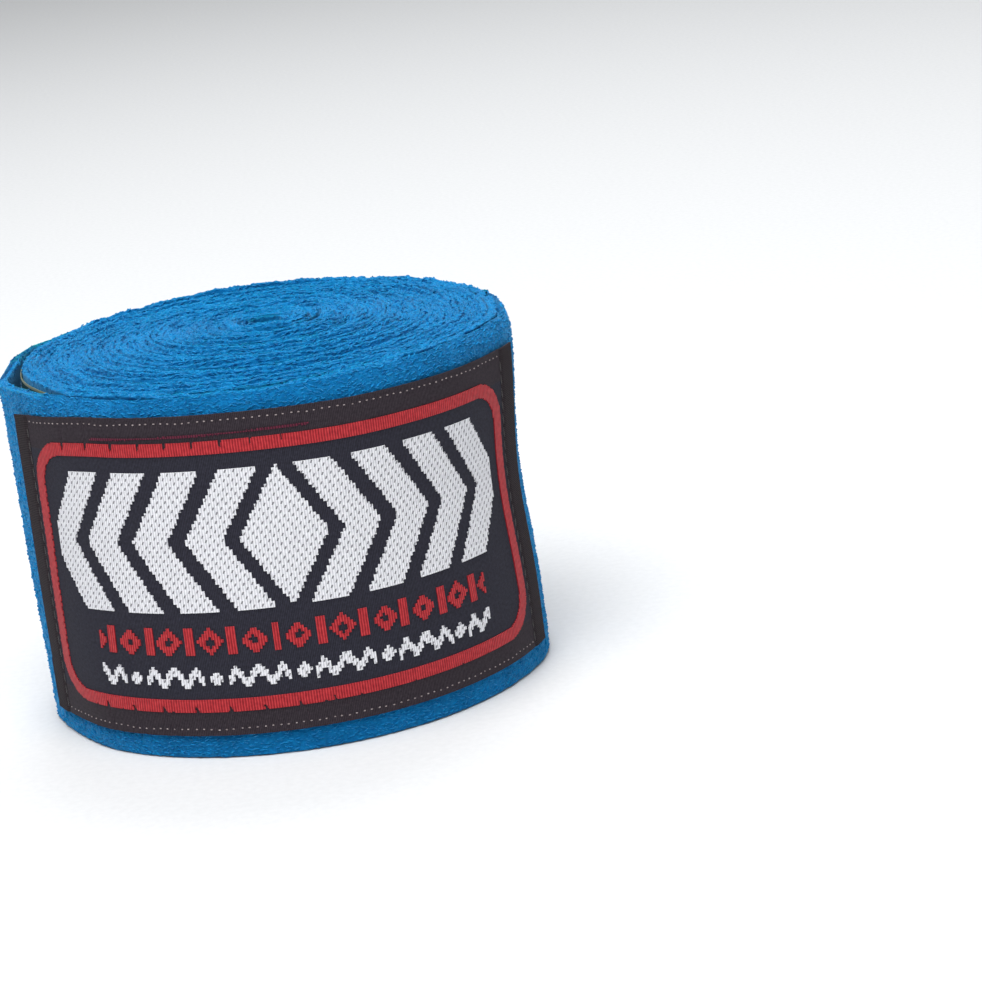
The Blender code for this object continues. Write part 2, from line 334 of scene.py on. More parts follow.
def scatter_loops(base, name, density, material, seed):
    """Terry loops, small thread arches that stand on the quads of a ply.

    density(centres, normals) is how many loops stand on each square millimetre.
    """
    chance = np.random.RandomState(seed)
    corners = mesh_quads(base.data)
    along = (corners[:, 1] - corners[:, 0] + corners[:, 2] - corners[:, 3]) / 2
    across = (corners[:, 3] - corners[:, 0] + corners[:, 2] - corners[:, 1]) / 2
    normal = np.cross(along, across)
    area = np.linalg.norm(normal, axis=1)
    normal /= area[:, None] + 1e-12
    expected = area * density(corners.mean(axis=1), normal)
    quad = np.repeat(np.arange(len(area)), (expected + chance.uniform(size=len(area))).astype(int))
    count = len(quad)
    s, t = chance.uniform(size=(2, count, 1))
    v = corners[quad]
    place = (v[:, 0] * (1 - s) + v[:, 1] * s) * (1 - t) + (v[:, 3] * (1 - s) + v[:, 2] * s) * t
    out, run = normal[quad], unit(along[quad])
    side = np.cross(out, run)
    spin = chance.normal(0, LOOP_SPIN, (count, 1))
    run = run * np.cos(spin) + side * np.sin(spin)
    out = unit(out + LOOP_TILT * chance.uniform(-1, 1, (count, 3)))
    side = unit(np.cross(out, run))
    run = np.cross(side, out)
    grow = chance.uniform(*LOOP_GROWTH, (count, 1))
    # Each loop's own random lightness; the ply under the loops has none and reads 0, which the
    # terry material turns into painted shade on the ground between the loops.
    loop_tone_and_pit_shade = chance.uniform(size=count)
    rings = []
    for turn in np.radians((0, 60, 120, 180)):
        sine, cosine = math.sin(turn), math.cos(turn)
        middle = place - run * (LOOP_SPAN / 2 * cosine * grow)
        middle = middle + out * (LOOP_HEIGHT * sine * grow - LOOP_SINK)
        outwards = out * sine - run * cosine
        for corner in np.radians((90, 210, 330)):
            reach = outwards * math.sin(corner) + side * math.cos(corner)
            rings.append(middle + reach * (LOOP_THREAD * np.sqrt(grow)))
    points = np.stack(rings, axis=1)
    here = np.arange(9)
    after = here - here % 3 + (here + 1) % 3
    pattern = np.column_stack((here, here + 3, after + 3, after))
    pieces = []
    for part, first in enumerate(range(0, count, LOOPS_PER_PIECE)):
        chunk = points[first: first + LOOPS_PER_PIECE]
        faces = (np.arange(len(chunk))[:, None, None] * LOOP_POINTS + pattern).reshape(-1, 4)
        piece = new_piece(f"{name}_{part + 1}", chunk.reshape(-1, 3), faces.tolist(), material)
        store(piece, "loop_tone_and_pit_shade", np.repeat(loop_tone_and_pit_shade[first: first + LOOPS_PER_PIECE], LOOP_POINTS))
        pieces.append(piece)
    return pieces


# --- Materials ---

class Nodes:
    """A small helper that builds one Principled material."""

    def __init__(self, name, roughness, sheen=0.0, specular=0.3, sheen_tint=(1, 1, 1)):
        self.material = bpy.data.materials.new(name)
        self.material.use_nodes = True
        self.tree = self.material.node_tree
        self.shader = self.tree.nodes["Principled BSDF"]
        self.fill(self.shader, {
            "Roughness": roughness, "Specular IOR Level": specular, "Sheen Weight": sheen,
            "Sheen Roughness": 0.5, "Sheen Tint": (*sheen_tint, 1),
        })

    def fill(self, node, inputs):
        for key, value in inputs.items():
            if isinstance(value, bpy.types.NodeSocket):
                self.tree.links.new(value, node.inputs[key])
            else:
                node.inputs[key].default_value = value

    def add(self, kind, output, inputs, **settings):
        """One output of a new node, whose inputs are given as numbers or other outputs."""
        node = self.tree.nodes.new(kind)
        for key, value in settings.items():
            setattr(node, key, value)
        self.fill(node, inputs)
        return node.outputs[output]

    def attribute(self, name, output="Vector"):
        return self.add("ShaderNodeAttribute", output, {}, attribute_name=name)

    def noise(self, vector, scale, detail=2.0, roughness=0.5):
        return self.add("ShaderNodeTexNoise", "Fac", {
            "Vector": vector, "Scale": scale, "Detail": detail, "Roughness": roughness})

    def wave(self, vector, scale, direction, distortion):
        return self.add("ShaderNodeTexWave", "Fac", {
            "Vector": vector, "Scale": scale, "Distortion": distortion}, bands_direction=direction)

    def maths(self, operation, *values):
        return self.add("ShaderNodeMath", 0, dict(enumerate(values)), operation=operation)

    def weigh(self, first, *others):
        """The sum of outputs, each given with its weight."""
        total = self.maths("MULTIPLY", *first)
        for pair in others:
            total = self.maths("ADD", total, self.maths("MULTIPLY", *pair))
        return total

    def part(self, vector, axis):
        return self.add("ShaderNodeSeparateXYZ", axis, {0: vector})

    def mix(self, share, first, second):
        return self.add("ShaderNodeMix", "Result", {"Factor": share, "A": first, "B": second},
                        data_type="RGBA")

    def ramp(self, factor, *stops):
        node = self.tree.nodes.new("ShaderNodeValToRGB")
        elements = node.color_ramp.elements
        while len(elements) < len(stops):
            elements.new(0.5)
        for element, (place, colour) in zip(elements, stops):
            element.position = place
            element.color = (*colour, 1)
        self.fill(node, {"Fac": factor})
        return node.outputs["Color"]

    def bump(self, height, distance, strength, **below):
        return self.add("ShaderNodeBump", "Normal", {
            "Height": height, "Distance": distance, "Strength": strength, **below})

    def finish(self, colour, **inputs):
        self.fill(self.shader, {"Base Color": colour, **inputs})
        return self.material


def terry_material():
    """Blue cotton terry with random mottling; its colour darkens where the loop bump is low and on
    the ground between the loops, as painted shade in the pits.
    """
    m = Nodes("blue_terry", 0.95, sheen=0.36, specular=0.04, sheen_tint=(0.25, 0.60, 1.0))
    m.fill(m.shader, {"Subsurface Weight": 0.5, "Subsurface Scale": 1.0,
                      "Subsurface Radius": (0.0002, 0.0002, 0.0002)})
    rest = m.attribute("rest")
    loops = m.noise(rest, 1.5, 3.0, 0.65)
    fine = m.noise(rest, 4.5, 2.0, 0.6)
    broad = m.noise(rest, 0.16, 1.0)
    # The tone follows the bump heights, so low spots get painted shade, and the loopless ground
    # reads 0 from the loop attribute, which is painted shade between the loops; the broad noise is
    # random mottling.
    tone = m.weigh((loops, 0.42), (fine, 0.14), (broad, 0.18), (m.attribute("loop_tone_and_pit_shade", "Fac"), 0.15))
    colour = m.ramp(tone, (0.30, (0.001, 0.102, 0.268)), (0.43, (0.003, 0.152, 0.378)),
                    (0.56, (0.006, 0.205, 0.484)), (0.72, (0.018, 0.266, 0.586)))
    coarse = m.bump(loops, 0.0004, 0.7)
    return m.finish(colour, Normal=m.bump(fine, 0.00010, 0.6, Normal=coarse))


def label_material():
    """Black woven ground: fine upright ribs, a browner tone towards the sewn edges."""
    m = Nodes("black_label", 0.7, specular=0.16)
    cloth = m.attribute("cloth")
    ribs = m.wave(cloth, 1.3, "X", 0.4)
    picks = m.wave(cloth, 1.7, "Y", 0.6)
    tone = m.weigh((ribs, 0.35), (m.noise(cloth, 2.4, 2.0, 0.6), 0.65))
    inner = m.ramp(tone, (0.25, (0.011, 0.011, 0.017)), (0.85, (0.036, 0.035, 0.054)))
    outer = m.ramp(tone, (0.25, (0.014, 0.010, 0.014)), (0.85, (0.050, 0.038, 0.048)))
    away = m.maths("ABSOLUTE", m.maths("SUBTRACT", m.part(cloth, "Y"), LABEL_HEIGHT / 2))
    near_edge = m.maths("GREATER_THAN", away, BORDER_HIGH - LABEL_HEIGHT / 2 - 1.0)
    ribbed = m.bump(ribs, 0.00006, 0.7)
    colour = m.mix(near_edge, inner, outer)
    return m.finish(colour, Normal=m.bump(picks, 0.00003, 0.5, Normal=ribbed))


def hem_material():
    """The plain dark brown weave of the label's folded ends."""
    m = Nodes("label_hem", 0.8, specular=0.12)
    cloth = m.attribute("cloth")
    ribs = m.wave(cloth, 1.2, "Y", 0.8)
    tone = m.weigh((ribs, 0.4), (m.noise(cloth, 3.0, 2.0, 0.6), 0.6))
    colour = m.ramp(tone, (0.25, (0.010, 0.008, 0.010)), (0.8, (0.040, 0.030, 0.034)))
    return m.finish(colour, Normal=m.bump(ribs, 0.00005, 0.6))


def satin_material(name, dark, middle, light, dashes=0):
    """Satin weft floats: close upright ribs, and tie-down dashes where dashes is above 0."""
    m = Nodes(name, 0.5, specular=0.2)
    cloth = m.attribute("cloth")
    ribs = m.wave(cloth, 0.85, "X", 0.7)
    tone = m.weigh((ribs, 0.45), (m.noise(cloth, 1.6, 2.0, 0.55), 0.55))
    colour, height = m.ramp(tone, (0.22, dark), (0.50, middle), (0.80, light)), ribs
    if dashes:
        ties = tie_dashes(m, cloth)
        colour = m.mix(m.maths("MULTIPLY", ties, dashes), colour, (0.05, 0.05, 0.06, 1))
        height = m.maths("SUBTRACT", ribs, m.maths("MULTIPLY", ties, 1.6))
    return m.finish(colour, Normal=m.bump(height, 0.00007, 0.8))


def tie_dashes(m, cloth):
    """1 in short slanted dashes on a diagonal lattice, 0 between them."""
    row = m.maths("DIVIDE", m.part(cloth, "Y"), 0.62)
    shift = m.maths("MULTIPLY", m.maths("FLOOR", row), 0.37)
    across = m.maths("FRACT", m.maths("ADD", m.maths("DIVIDE", m.part(cloth, "X"), 1.15), shift))
    slant = m.maths("MULTIPLY", m.maths("FRACT", row), 0.25)
    near = m.maths("ABSOLUTE", m.maths("SUBTRACT", m.maths("SUBTRACT", across, slant), 0.35))
    inside = m.maths("ABSOLUTE", m.maths("SUBTRACT", m.maths("FRACT", row), 0.5))
    return m.maths("MULTIPLY", m.maths("LESS_THAN", near, 0.10), m.maths("LESS_THAN", inside, 0.32))


def thread_material(name, dark, light, roughness=0.5, sheen=0.2, specular=0.4, grain=(6.0, 1.0),
                    light_stop=0.7, relief=0.6):
    m = Nodes(name, roughness, sheen=sheen, specular=specular)
    twist = m.noise(m.attribute("rest"), *grain)
    colour = m.ramp(twist, (0.3, dark), (light_stop, light))
    return m.finish(colour, Normal=m.bump(twist, 0.00004, relief))


def hook_material():
    return thread_material("hook_nylon", (0.010, 0.011, 0.013), (0.034, 0.035, 0.040), 0.38, 0.05,
                           0.5, (3.0, 2.0), 0.75, 0.5)


def pile_material():
    """The loop tape: a brushed pile, darker and greener than the band."""
    m = Nodes("loop_pile", 0.95, sheen=0.1, specular=0.06, sheen_tint=(0.2, 0.5, 0.6))
    rest = m.attribute("rest")
    tufts = m.noise(rest, 2.2, 3.0, 0.7)
    fine = m.noise(rest, 7.0, 2.0, 0.6)
    colour = m.ramp(m.weigh((tufts, 0.6), (fine, 0.4)), (0.34, (0.003, 0.016, 0.020)),
                    (0.55, (0.008, 0.042, 0.050)), (0.72, (0.020, 0.085, 0.095)))
    coarse = m.bump(tufts, 0.0004, 0.9)
    return m.finish(colour, Normal=m.bump(fine, 0.00012, 0.7, Normal=coarse))


def floor_material():
    m = Nodes("pale_floor", 0.85, specular=0.2)
    speck = m.noise(m.add("ShaderNodeTexCoord", "Object", {}), 900.0)
    return m.finish(m.ramp(speck, (0.3, (0.60, 0.61, 0.62)), (0.7, (0.63, 0.64, 0.65))))


# --- Camera, light and floor ---

CAMERA_DISTANCE = 0.500
CAMERA_TARGET = Vector((0, 0, 0.0258))
CAMERA_ELEVATION = 15.0
CAMERA_ROLL = 8.3
CAMERA_LENS = 127.9
SENSOR_WIDTH = 36
FRAME_PIXELS = 982
OBJECT_LEFT = 212.8
OBJECT_DOWN = 13.5

LIGHT_TARGET = Vector((0, 0, 0.025))
LIGHTS = (
    ("key", (-0.14, -0.33, 0.88), 0.80, 12.7),
    ("fill", (0.45, -0.60, 0.35), 0.5, 0.6),
    ("back", (0.10, 0.50, 0.80), 0.5, 4.0),
)
WORLD_STRENGTH = 0.33
FLOOR_HALF = 3.0


def add_camera():
    """Looks from the front and a little above, rolled, with the roll left of the middle."""
    data = bpy.data.cameras.new("camera")
    data.lens = CAMERA_LENS
    data.sensor_width = SENSOR_WIDTH
    data.clip_start = 0.01
    camera = in_scene("camera", data)
    lift = math.radians(CAMERA_ELEVATION)
    back = Vector((0, -math.cos(lift), math.sin(lift)))
    camera.location = CAMERA_TARGET + back * CAMERA_DISTANCE
    aim = (-back).to_track_quat("-Z", "Y")
    roll = Quaternion((0, 0, 1), math.radians(-CAMERA_ROLL))
    focal = CAMERA_LENS / SENSOR_WIDTH * FRAME_PIXELS
    pan = Quaternion((0, 1, 0), -math.atan(OBJECT_LEFT / focal))
    tilt = Quaternion((1, 0, 0), math.atan(OBJECT_DOWN / focal))
    camera.rotation_mode = "QUATERNION"
    camera.rotation_quaternion = aim @ roll @ pan @ tilt
    bpy.context.scene.camera = camera


def add_studio():
    world = bpy.data.worlds.new("studio")
    bpy.context.scene.world = world
    world.use_nodes = True
    background = world.node_tree.nodes["Background"]
    background.inputs["Color"].default_value = (0.98, 0.99, 1.0, 1)
    background.inputs["Strength"].default_value = WORLD_STRENGTH
    for name, place, size, power in LIGHTS:
        data = bpy.data.lights.new(name, "AREA")
        data.shape = "DISK"
        data.size = size
        data.energy = power
        light = in_scene(name, data)
        light.location = place
        light.rotation_mode = "QUATERNION"
        light.rotation_quaternion = (LIGHT_TARGET - Vector(place)).to_track_quat("-Z", "Y")
    mesh = bpy.data.meshes.new("floor")
    corners = [(x * FLOOR_HALF, y * FLOOR_HALF, 0) for x, y in ((-1, -1), (1, -1), (1, 1), (-1, 1))]
    mesh.from_pydata(corners, [], [(0, 1, 2, 3)])
    mesh.materials.append(floor_material())
    in_scene("floor", mesh)
    bpy.context.scene.view_settings.view_transform = "Standard"


# --- The band ---

RIM_RADII = (31.0, 35.5)
RIM_DROP = 0.45
RIDGE_PITCH = 4.6
BEADS = (0.12, 0.07)
SWAY = 0.16
FOOT_TUCK = 0.6
WAIST_DEPTH = 0.15
TIP_SLACK = 0.95
TIP_BULGE = (0.35, 0.50)
TURN_LEAN = {"outer": 0.75, "inner": 0.25}
FLAP_LEAN = {"outer": 1.20, "inner": 1.65}
FLAP_LEAN_HEIGHT = 3.4
CORNER_DROOP = 0.5
TIP_DROOP = 0.75
FIRST_SLIT = (20, 70, 190, 260)
SECOND_SLIT = (655, 675, 720, 745)
CORE_LEAN = np.array((2.6, -0.3))
CORNER_LEAN = 0.75
TOP_LOOPS = 4.0
SIDE_LOOPS = 2.4
CLOSED_SPAN = (208, 222, 372, 390)


def nubs(length, seed):
    """The beads that weft loops make along a cut or turned edge, from -1 to 1."""
    return (noise(0.55, seed, length) + 0.7 * noise(1.5, seed + 1, length)) / 1.7


def ridge_height(radius, angle):
    """Turns stand a little higher or lower in groups, so the roll's face shows ridges."""
    turn = np.radians(angle)
    groups = noise((1.3, 1.6, 1.6), 11, radius, 3 * np.cos(turn), 3 * np.sin(turn))
    drift = noise((9, 0.8, 0.8), 12, radius, np.cos(turn), np.sin(turn))
    waves = np.sin(2 * math.pi * radius / RIDGE_PITCH + 2.2 * drift)
    spots = noise(2.1, 13, radius * np.cos(turn), radius * np.sin(turn))
    return 0.20 * groups + 0.42 * waves + 0.22 * spots


def band_edge_shape(at, seed, grow=1.0):
    """Moves the points of the band's two edges: ridges, beads and a soft sideways sway."""
    beads = BEADS[0] * nubs(at.length, seed)
    beads = (beads + BEADS[1] * nubs(at.length + 31.7 * at.out, seed + 5)) * grow
    ridge = ridge_height(at.radius, at.angle) * (at.top > 0)
    up = at.top * beads + ridge + at.bottom * np.maximum(0, 0.10 + 0.6 * beads)
    up = up - RIM_DROP * smooth(at.radius, *RIM_RADII) * (at.top > 0)
    edge = np.maximum(at.top, at.bottom)
    sway = SWAY * nubs(at.length * 0.8, seed + 9)
    return np.maximum(edge, 0.35 * (at.up > BAND_WIDTH / 2)) * sway * grow, up


def pile(at, seed, depth):
    """The uneven pile of a face, outwards on the outer side and inwards on the inner one."""
    spot = at.length, at.up, at.out
    height = noise((0.85, 0.85, 9), seed, *spot) + 0.8 * noise((2.3, 1.6, 9), seed + 1, *spot)
    return np.sign(at.out) * depth * height / 1.8


def wound_shape(at):
    """The turns swell at the top where the thumb loop holds them apart further down."""
    out, up = band_edge_shape(at, 21)
    room = roll_radius(at.angle + 180) - roll_radius(np.maximum(at.angle - 180, 0))
    swell = np.clip(room / 2 / TURN_HALF * 0.96, 1, 3.4) - 1
    slit = between(at.angle, *FIRST_SLIT) + between(at.angle, *SECOND_SLIT)
    swell = swell * (1 - 0.85 * slit) * smooth(at.up, BAND_WIDTH - 6, BAND_WIDTH - 1)
    return out + at.out * swell, up + dome_height(at.radius) - 0.8 * slit * at.top


def waist(angle, height):
    """How far the outside stands in or out: in at the corner's foot, slack or proud at the tip."""
    around, from_corner = np.mod(angle, 360), np.mod(angle - 180, 360) + 180
    foot = between(around, 168, 185, 205, 222) * (1 - smooth(height, 0, 26))
    slack = between(from_corner, 282, 322, 374, 410) * (TIP_SLACK * bell(height, 30, 13))
    end = bell(from_corner, 345, 11) * (TIP_BULGE[0] + TIP_BULGE[1] * smooth(height, 22, 46))
    return end - FOOT_TUCK * foot - slack - WAIST_DEPTH * bell(height, 27, 15)


def around_axis(points):
    away = points[:, :2] - WINDING_CENTRE
    radius = np.hypot(*away.T)
    angle = np.mod(np.degrees(np.arctan2(away[:, 1], away[:, 0])), 360)
    return away / np.maximum(radius, 0.1)[:, None], radius, angle


def push_out(points, at=None):
    """The waist, for what lies outside the roll."""
    away, _, angle = around_axis(points)
    points[:, :2] += away * waist(angle, points[:, 2])[:, None]
    return points


def settle(points, at=None, corner_share=1):
    """The roll's waist and lean: its core to one side, its outer turns in at the corner."""
    away, radius, angle = around_axis(points)
    height = points[:, 2]
    core = (1 - smooth(radius, 2, 26)) * smooth(height, BAND_WIDTH - 12, BAND_WIDTH)
    corner = between(angle, 122, 156, 200, 226) * smooth(radius, 20, 33)
    corner = CORNER_LEAN * corner * smooth(height, BAND_WIDTH - 24, BAND_WIDTH - 2) * corner_share
    outwards = waist(angle, height) * smooth(radius, 12, 33) - corner
    points[:, :2] += core[:, None] * CORE_LEAN + away * outwards[:, None]
    return points


def settle_last_turn(points, at):
    return settle(points, at, 1 - smooth(at.angle, LAST_ANGLE + 240, LAST_ANGLE + 330))


def over_the_tapes(angle):
    return between(np.mod(angle - 180, 360) + 180, *CLOSED_SPAN)


def last_turn_shape(at):
    """Above the tapes the last turn leans out to meet the flap."""
    out, up = band_edge_shape(at, 33)
    out = out + pile(at, 34, 0.10) + at.top * 0.10 * np.sign(at.out)
    near_top = smooth(at.up, BAND_WIDTH - 1.1, BAND_WIDTH - 0.3)
    lean = np.where(at.out > 0, TURN_LEAN["outer"], TURN_LEAN["inner"]) * near_top
    lean = lean * (1 + 0.4 * noise(2.6, 35, at.length))
    covered = over_the_tapes(at.angle)
    return out + lean * covered, up - 0.20 * at.top * covered


def flap_shape(at):
    """Above the tapes the flap's edge rolls in over them; at the corner it droops a little."""
    out, up = band_edge_shape(at, 41, 1.1)
    out = out + pile(at, 42, 0.09)
    near_top = np.clip(1 - (BAND_WIDTH - at.up) / FLAP_LEAN_HEIGHT, 0, 1) ** 2
    lean = np.where(at.out < 0, FLAP_LEAN["inner"], FLAP_LEAN["outer"]) * near_top
    lean = lean * (1 + 0.22 * noise(2.1, 45, at.length))
    covered = over_the_tapes(at.angle)
    lift = (0.12 + 0.16 * noise(3.1, 46, at.length)) * near_top
    droop = CORNER_DROOP * between(at.angle, 172, 190, 190, 206)
    droop = droop * smooth(at.up, BAND_WIDTH - 12, BAND_WIDTH)
    droop = droop + TIP_DROOP * smooth(at.angle, 340, 362) * at.top
    soft = np.where(at.out < 0, -0.40, 0.10) * between(at.angle, 150, 176, 206, 220)
    soft = soft * smooth(at.up, BAND_WIDTH - 5, BAND_WIDTH - 1)
    return out - lean * covered * at.facing + soft, up - droop + lift * covered


def top_density(centre, normal):
    return TOP_LOOPS * (normal[:, 2] > 0.2) * (centre[:, 2] > BAND_WIDTH - 2)


def ply_density(bare_span, strips):
    """Loops on a ply: its top edge, its outer face where bare, and strips beside the label."""
    def density(centre, normal):
        away, _, angle = around_axis(centre)
        outwards = (normal[:, :2] * away).sum(axis=1) > 0.3
        bare = np.mod(angle - bare_span[0], 360) < bare_span[1] - bare_span[0]
        beside = (centre[:, 2] > LABEL_HIGH - 0.2) | (centre[:, 2] < LABEL_LOW + 0.2)
        face = outwards * (SIDE_LOOPS * bare + 1.4 * SIDE_LOOPS * (beside & ~bare) * strips)
        return np.maximum(top_density(centre, normal), face * (centre[:, 2] > 0.5))
    return density


def add_band(name, path, profile, shape, material, place, nodes, density, seed):
    """A length of the band with its loops, and the list of both."""
    piece = add_ply(name, path, profile, material, shape, place=place)
    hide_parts(*nodes)
    loop_name = name.replace("_ply", "") + "_loops"
    return [piece] + scatter_loops(piece, loop_name, density, material, seed)


def add_wound_band(material):
    """The roll itself; its inner turns are two pieces, so that each stays a light mesh."""
    parts = []
    thin = ply_profile(0, BAND_WIDTH, TURN_HALF, 4, 3, 2, 0.45)
    for name, start, end in (("wound_core", 0, CORE_SPLIT_ANGLE),
                             ("wound_turns", CORE_SPLIT_ANGLE, LAST_ANGLE)):
        path = Path(arc_points(start, end, roll_radius, 1.5), WOUND_STEP, start)
        parts += add_band(name, path, thin, wound_shape, material, settle, ["wrap_band"],
                          top_density, start + 5)
    path = Path(arc_points(LAST_ANGLE, LAST_ANGLE + 360, roll_radius, 0.5), PLY_STEP, LAST_ANGLE)
    profile = ply_profile(0, BAND_WIDTH, TURN_HALF, PLY_ROWS, 8, 5)
    parts += add_band("last_turn", path, profile, last_turn_shape, material, settle_last_turn,
                      ["wrap_band"], ply_density((TIP_ANGLE, 360 + LIFT_OFF[1]), 0), 7)
    for part in parts:
        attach(part, "roll")


def blend_at(parts):
    """Bakes each piece's transform into its mesh."""
    for part in parts:
        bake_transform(part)


def add_outer_ply(material):
    """The last stretch of band: it leaves the roll, turns at the corner and carries the label."""
    profile = ply_profile(0, BAND_WIDTH, PLY_HALF, PLY_ROWS, PLY_ROWS, 6)
    points = arc_points(ROOT_PLY_START, PLY_SPLIT_ANGLE, last_lap_radius)
    parts = add_band("flap_root_ply", Path(points, PLY_STEP, ROOT_PLY_START), profile, flap_shape,
                     material, push_out, ["wrap_band", "flap_band"],
                     ply_density((ROOT_PLY_START, LABEL_START + 0.7), 1), 8)
    blend_at(parts)

    outer = arc_points(PLY_SPLIT_ANGLE, BAND_END_ANGLE, lambda a: under_radius(a) + FLAP_RISE)
    inner = arc_points(HEM_END_ANGLE, BAND_END_ANGLE, lambda a: under_radius(a) + HEM_RISE)[::-1]
    end_radius = under_radius(BAND_END_ANGLE)
    fold = fold_points(BAND_END_ANGLE, end_radius + FLAP_RISE, end_radius + HEM_RISE)
    path = Path(np.vstack((outer, fold, inner)), PLY_STEP * 0.8, PLY_SPLIT_ANGLE)
    parts = add_band("flap_tip_ply", path, profile, flap_shape, material, push_out,
                     ["flap_band", "tip_band"],
                     ply_density((LABEL_END - 0.7, BAND_END_ANGLE + 3), 1), 9)
    blend_at(parts)


# --- The label ---

LABEL_START = 199
LABEL_END = 342
LABEL_SKEW = 3.5
LABEL_LOW = 3.4
LABEL_HIGH = 47.4
LABEL_HALF = 0.14
HEM_STRIP = 3.9
WEAVE_CELL = 0.42
FINE_CELL = 0.16
SATIN_LIFT = 0.13

BORDER_SIDE_INSET = 4.9
BORDER_LOW = 3.4
BORDER_HIGH = 40.5
BORDER_SIDE = 1.9
BORDER_TOP = 1.8
BORDER_BOTTOM = 1.7
BORDER_CORNER = 6.0

LABEL_HEIGHT = LABEL_HIGH - LABEL_LOW
LABEL_ANGLES = np.linspace(LABEL_START, LABEL_END, 600)
LABEL_RUN = np.concatenate(([0], np.cumsum(np.hypot(
    *np.diff(plan(LABEL_ANGLES, under_radius(LABEL_ANGLES) + LABEL_RISE), axis=0).T))))
LABEL_LENGTH = LABEL_RUN[-1]
TOP_NICKS = 12.4 + 4.3 * np.arange(10) + 0.7 * np.sin(0.6 * np.arange(10))
FOOT_NICKS = 15.5 + 4.7 * np.arange(8)


def nick_depth(u, v, width):
    """1 in the small creases that pinch the border's outer edge, 0 away from them."""
    depth = 0
    for nicks, slope, low, high in ((TOP_NICKS, 0.10, BORDER_HIGH - 1.5, BORDER_HIGH + 0.2),
                                    (FOOT_NICKS, -0.35, BORDER_LOW + 1.1, BORDER_LOW - 0.2)):
        reach = smooth(v, low, high) if high > low else 1 - smooth(v, high, low)
        for rank, nick in enumerate(nicks):
            near = bell(u - nick - slope * (v - high), 0, width * (0.35 + 0.65 * reach))
            depth = np.maximum(depth, near * np.minimum(1, 3 * reach) * (1 - 0.06 * rank))
    return depth


def label_relief(u, v):
    """How the label stands off its smooth curve: folded ends, puckers, creases, waves."""
    from_end = np.minimum(u, LABEL_LENGTH - u)
    lift = 0.20 * (1 - smooth(from_end, HEM_STRIP - 0.25, HEM_STRIP + 0.25))
    lift = lift - 0.10 * bell(from_end, HEM_STRIP, 0.22)
    lift = lift + 0.07 * noise((9, 14), 51, u, v).reshape(np.shape(u))
    seam = bell(np.minimum(v, LABEL_HEIGHT - v), 1.0, 0.35)
    lift = lift - 0.06 * seam * (1 + 0.6 * np.sin(2 * math.pi * u / 1.4))
    return lift - 0.13 * nick_depth(u, v, 0.30)


def label_place(u, v, lift):
    """Points on the label, from a length along it, a height up it and a lift off its cloth."""
    angle = np.interp(u, LABEL_RUN, LABEL_ANGLES)
    share = v / LABEL_HEIGHT
    angle = angle - (1 - smooth(u, 0, 40)) * (LABEL_SKEW * (1 - share) ** 2 - 1.5 * share ** 2)
    radius = flap_radius(angle) + LABEL_RISE - FLAP_RISE + label_relief(u, v) + lift
    radius = radius + waist(angle, LABEL_LOW + v)
    pull = 0.95 * between(angle, 204, 230, 250, 310)
    pull = pull - 0.5 * smooth(angle, 298, 336) - 0.4 * (1 - smooth(angle, LABEL_START, 207))
    return np.column_stack((plan(angle, radius), LABEL_LOW + v + pull * share))


def add_panel(name, u, v, filled, lifts, material, smooth_angle):
    """A two-sided panel on the label, of the filled cells of a grid, at a lift on each side."""
    filled = np.pad(filled, 1)
    i, j = np.nonzero(filled)
    count = len(u) * len(v)
    corner = np.arange(count).reshape(len(u), len(v))
    a, b, c, d = corner[i - 1, j - 1], corner[i, j - 1], corner[i, j], corner[i - 1, j]
    faces = [np.column_stack((a, b, c, d)), np.column_stack((d, c, b, a)) + count]
    for di, dj, s, t in ((0, -1, a, b), (1, 0, b, c), (0, 1, c, d), (-1, 0, d, a)):
        edge = ~filled[i + di, j + dj]
        faces.append(np.column_stack((s, s + count, t + count, t))[edge])
    used, faces = np.unique(np.vstack(faces), return_inverse=True)
    at_u, at_v = np.repeat(u, len(v))[used % count], np.tile(v, len(u))[used % count]
    points = label_place(at_u, at_v, np.where(used < count, *lifts))
    piece = new_piece(name, points, faces.reshape(-1, 4).tolist(), material, smooth_angle)
    store(piece, "cloth", np.column_stack((at_u, at_v, np.zeros(len(used)))))
    return piece


def add_label_cloth(material, hem):
    """The label's ground, a whole panel with a hem-coloured back and folded ends."""
    u = np.append(np.arange(0, LABEL_LENGTH, 0.4), LABEL_LENGTH)
    v = np.linspace(0, LABEL_HEIGHT, 111)
    cells = np.ones((len(u) - 1, len(v) - 1), bool)
    piece = add_panel("label_cloth", u, v, cells, (LABEL_HALF, -LABEL_HALF), material, 40)
    piece.data.materials.append(hem)
    middle = np.repeat((u[:-1] + u[1:]) / 2, len(v) - 1)
    slots = np.zeros(len(piece.data.polygons), np.int32)
    slots[: cells.size] = np.minimum(middle, LABEL_LENGTH - middle) < HEM_STRIP
    slots[cells.size: 2 * cells.size] = 1
    piece.data.polygons.foreach_set("material_index", slots)
    return piece


def add_weave(name, inside, material, cell=WEAVE_CELL):
    """Raised satin where inside(u, v) holds, in whole weave cells, so its edges are stepped."""
    u, v = (np.arange(0, size, cell) for size in (LABEL_LENGTH, LABEL_HEIGHT))
    filled = inside(*np.meshgrid(u + cell / 2, v + cell / 2, indexing="ij"))
    u, v = np.append(u, u[-1] + cell), np.append(v, v[-1] + cell)
    lifts = (LABEL_HALF + SATIN_LIFT, LABEL_HALF - 0.05)
    return add_panel(name, u, v, filled, lifts, material, 50)


